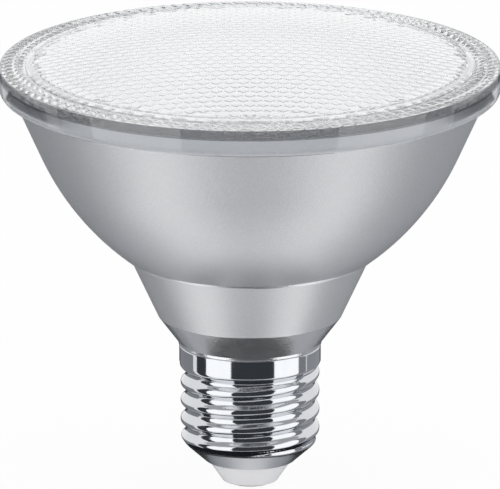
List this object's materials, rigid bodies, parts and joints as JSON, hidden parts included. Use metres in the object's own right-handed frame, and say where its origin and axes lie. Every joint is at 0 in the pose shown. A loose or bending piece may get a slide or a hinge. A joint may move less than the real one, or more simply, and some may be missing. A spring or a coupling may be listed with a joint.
{
  "type": "par spotlight bulb",
  "caption": "Reflector spotlight bulb with a clear small-lens front, satin aluminium bowl, tapered neck and a screw cap with a rolled thread.",
  "frame": {"origin": "middle of the centre contact's flat face, on the bulb's axis", "axes": "+Z along the axis, from the contact out of the lens; +X to the right in the picture's view, +Y away from it"},
  "size_m": [0.095, 0.095, 0.0867],
  "materials": {
    "clear_lens": "clear moulded polycarbonate, polished, with small lenses on the disc",
    "satin_aluminium": "pressed and satin finished, fine even grain",
    "silver_lacquer": "moulded, silver lacquered, satin",
    "nickel_plate": "bright nickel on rolled brass sheet",
    "white_insulator": "moulded, semi-gloss white",
    "contact_metal": "plated brass, slightly dull",
    "reflector_coat": "vacuum-metallised moulding",
    "bare_aluminium": "turned, bare",
    "pad_rubber": "soft filled silicone",
    "module_substrate": "aluminium with a white coat",
    "phosphor_silicone": "yellow phosphor in clear silicone",
    "holder_plastic": "moulded white",
    "screw_steel": "zinc plated",
    "board_laminate": "green solder resist on glass laminate",
    "capacitor_sleeve": "dark shrink sleeve",
    "film_case": "potted case",
    "ferrite": "sintered ferrite",
    "coil_tape": "polyester tape over copper",
    "choke_sleeve": "shrink sleeve over copper and ferrite",
    "package_resin": "moulded epoxy with tinned pins",
    "fuse_coat": "flameproof coat",
    "lead_insulation": "insulated copper wire"
  },
  "bodies": {
    "root": {"lens_cap": "clear_lens", "bowl_shell": "satin_aluminium", "neck_housing": "silver_lacquer", "screw_shell": "nickel_plate", "cap_insulator": "white_insulator", "centre_contact": "contact_metal", "reflector": "reflector_coat", "heat_spreader": "bare_aluminium", "thermal_pad": "pad_rubber", "led_module": "module_substrate", "phosphor_disc": "phosphor_silicone", "led_holder": "holder_plastic", "holder_screws": "screw_steel", "spreader_screws": "screw_steel", "driver_board": "board_laminate", "bulk_capacitor": "capacitor_sleeve", "film_capacitor": "film_case", "transformer_core": "ferrite", "transformer_coil": "coil_tape", "input_choke": "choke_sleeve", "rectifier": "package_resin", "driver_chip": "package_resin", "fuse_resistor": "fuse_coat", "live_lead": "lead_insulation", "neutral_lead": "lead_insulation", "led_leads": "lead_insulation"}
  },
  "joints": []
}
